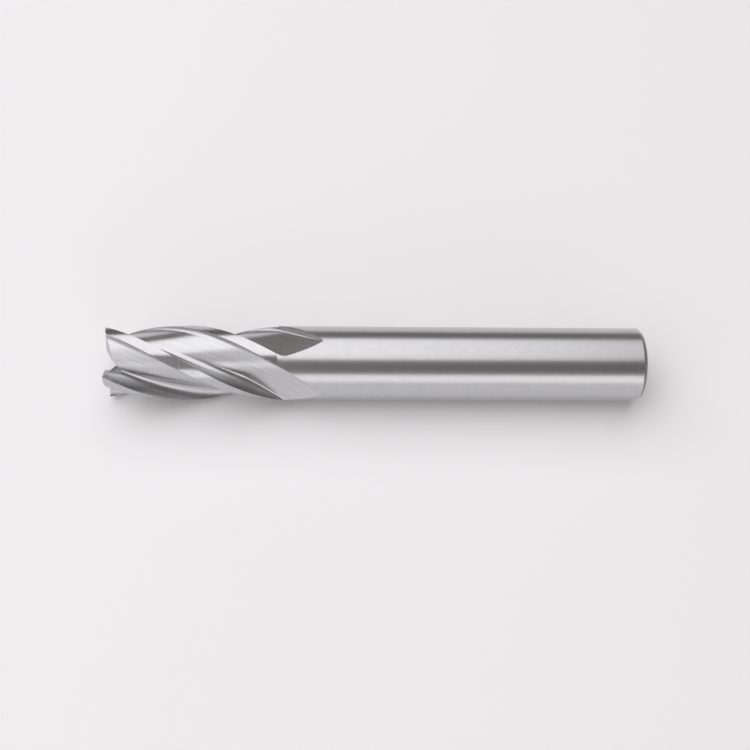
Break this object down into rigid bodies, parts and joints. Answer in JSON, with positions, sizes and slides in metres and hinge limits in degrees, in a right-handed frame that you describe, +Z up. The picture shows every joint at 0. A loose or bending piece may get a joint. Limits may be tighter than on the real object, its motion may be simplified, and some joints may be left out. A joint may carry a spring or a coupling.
{
  "type": "end mill",
  "caption": "Square end mill for a milling machine: a helically fluted cutting head welded to a plain cylindrical shank.",
  "frame": {"origin": "centre of the shank's flat back face", "axes": "+X along the tool's axis, out of the shank's back face, so the cutting tip is at -X; +Z up with the tool lying down"},
  "size_m": [0.072, 0.01, 0.01],
  "materials": {
    "high_speed_steel": "bright ground, grinding lines along the flutes",
    "shank_steel": "bright cylindrical-ground"
  },
  "bodies": {
    "root": {"cutting_head": "high_speed_steel", "shank": "shank_steel"}
  },
  "joints": []
}
